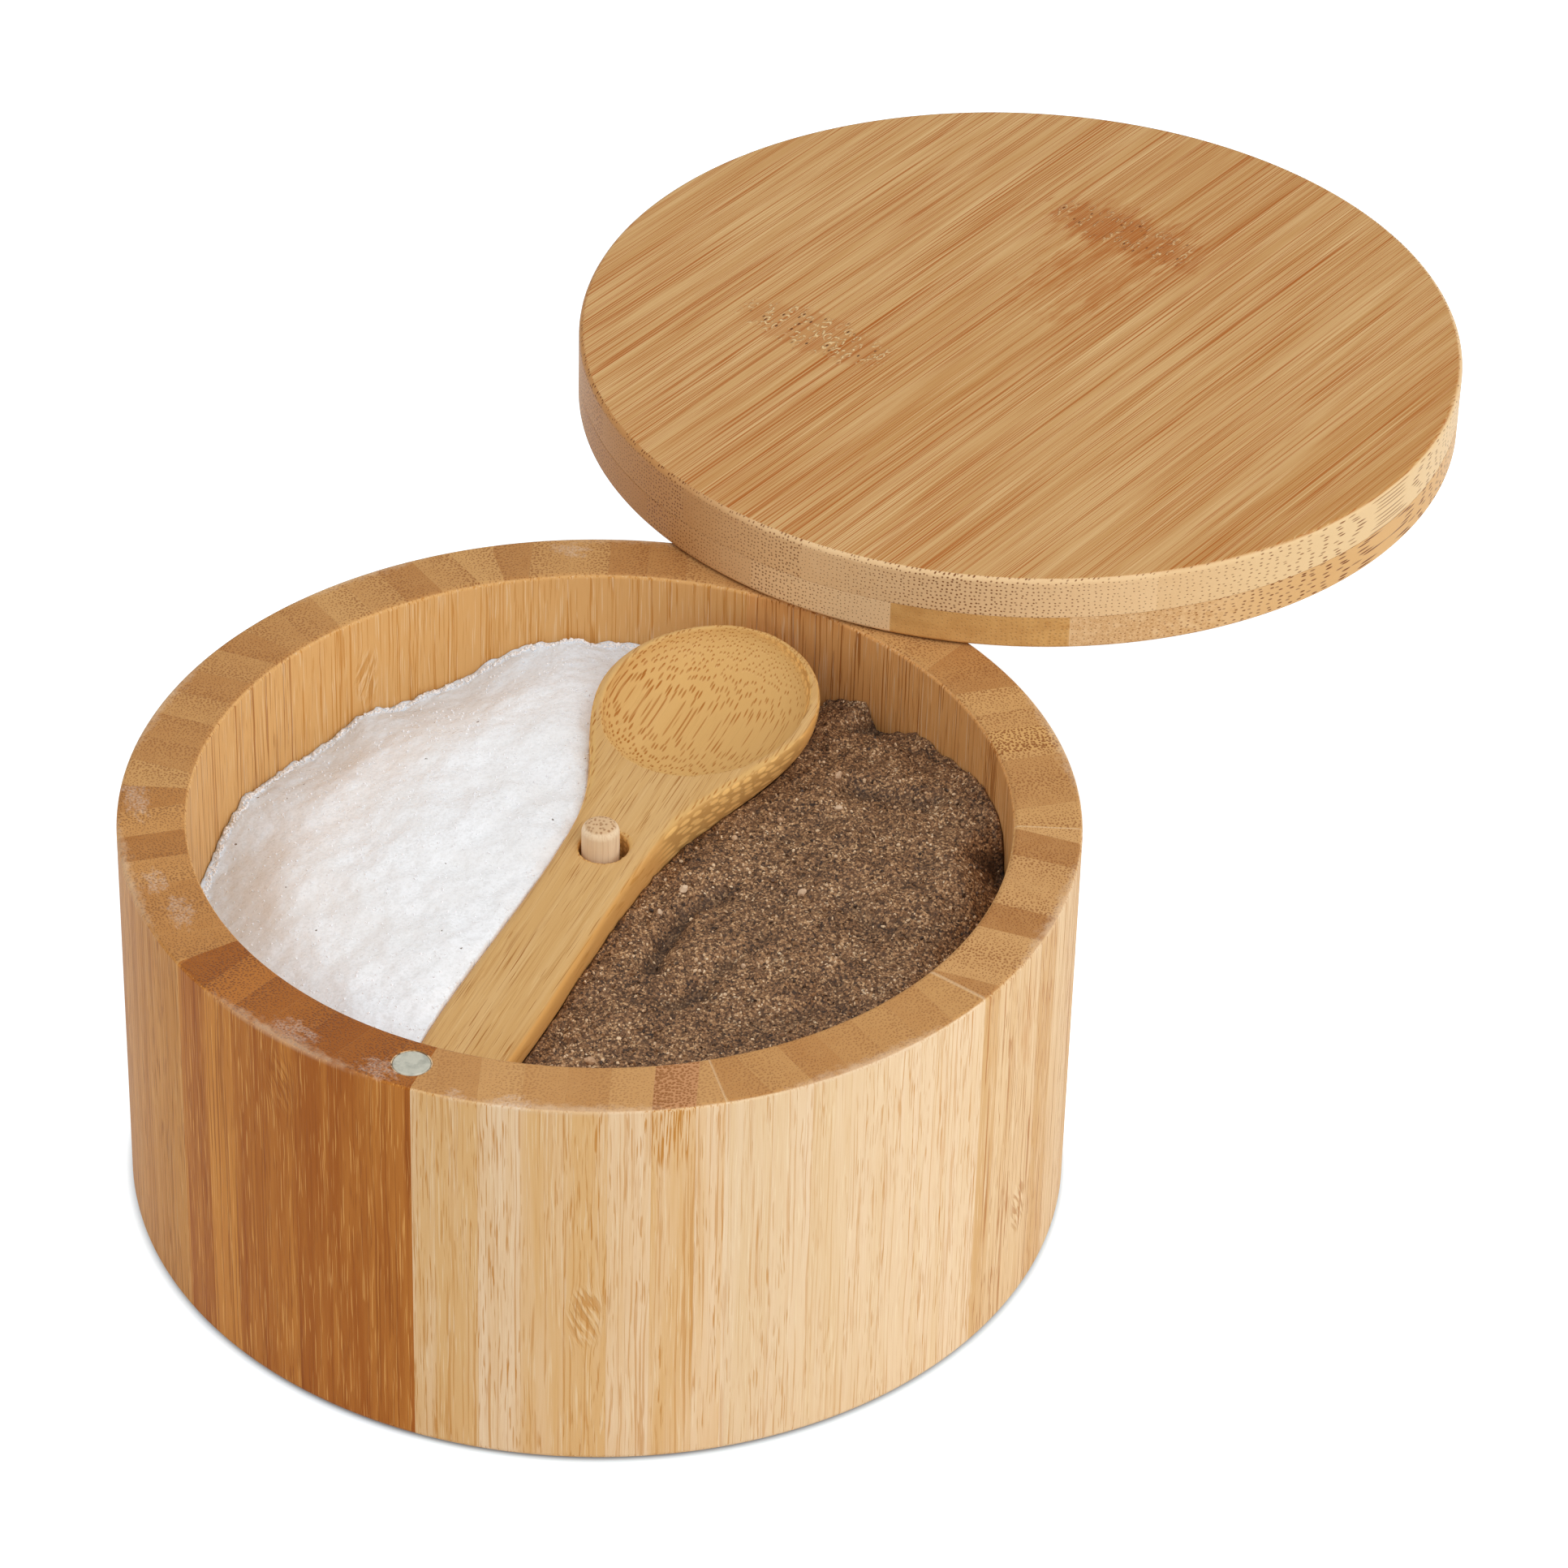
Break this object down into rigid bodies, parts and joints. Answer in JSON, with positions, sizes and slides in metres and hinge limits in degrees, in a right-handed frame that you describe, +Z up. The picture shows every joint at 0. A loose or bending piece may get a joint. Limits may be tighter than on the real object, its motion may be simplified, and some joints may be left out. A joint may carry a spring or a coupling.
{
  "type": "salt canister",
  "caption": "Round bamboo salt and pepper box with a sideways-swivelling magnetic lid, a divider down the middle and a small spoon on a peg.",
  "frame": {"origin": "centre of the flat underside, on the surface that it stands on", "axes": "+Z up; +Y from the middle towards the lid's pivot pin, -Y towards the magnet in the rim; salt on the -X side of the divider and pepper on +X"},
  "size_m": [0.14, 0.239, 0.0683],
  "materials": {
    "bamboo_pale": "satin",
    "bamboo_caramel": "satin",
    "bamboo_lid": "satin",
    "bamboo_spoon": "satin",
    "bamboo_dowel": "satin",
    "magnet": "satin",
    "pin_steel": "satin",
    "salt": "matte",
    "pepper": "matte"
  },
  "bodies": {
    "canister": {"wall_stave_01": "bamboo_pale", "wall_stave_02": "bamboo_pale", "wall_stave_03": "bamboo_pale", "wall_stave_04": "bamboo_pale", "wall_stave_05": "bamboo_pale", "wall_stave_06": "bamboo_pale", "wall_stave_07": "bamboo_pale", "wall_stave_08": "bamboo_pale", "wall_stave_09": "bamboo_pale", "wall_stave_10": "bamboo_caramel", "base_panel": "bamboo_pale", "divider": "bamboo_pale", "spoon_peg": "bamboo_dowel", "rim_magnet": "magnet", "pivot_pin": "pin_steel", "salt": "salt", "pepper": "pepper"},
    "lid": {"lid_upper_strip_1": "bamboo_lid", "lid_upper_strip_2": "bamboo_lid", "lid_upper_strip_3": "bamboo_lid", "lid_upper_strip_4": "bamboo_lid", "lid_upper_strip_5": "bamboo_lid", "lid_upper_strip_6": "bamboo_lid", "lid_upper_strip_7": "bamboo_lid", "lid_lower_strip_1": "bamboo_lid", "lid_lower_strip_2": "bamboo_lid", "lid_lower_strip_3": "bamboo_lid", "lid_lower_strip_4": "bamboo_lid", "lid_lower_strip_5": "bamboo_lid", "lid_lower_strip_6": "bamboo_lid", "lid_magnet": "magnet"},
    "spoon": {"spoon": "bamboo_spoon"}
  },
  "joints": [
    {"name": "lid_swivel", "type": "hinge", "parent": "canister", "child": "lid", "pos_m": [0, 0.058, 0.05725], "axis": [0, 0, 1], "range_deg": [-165, 195]},
    {"name": "spoon_lift", "type": "slide", "parent": "canister", "child": "spoon", "axis": [0, 0, 1], "range_m": [0, 0.06]}
  ]
}
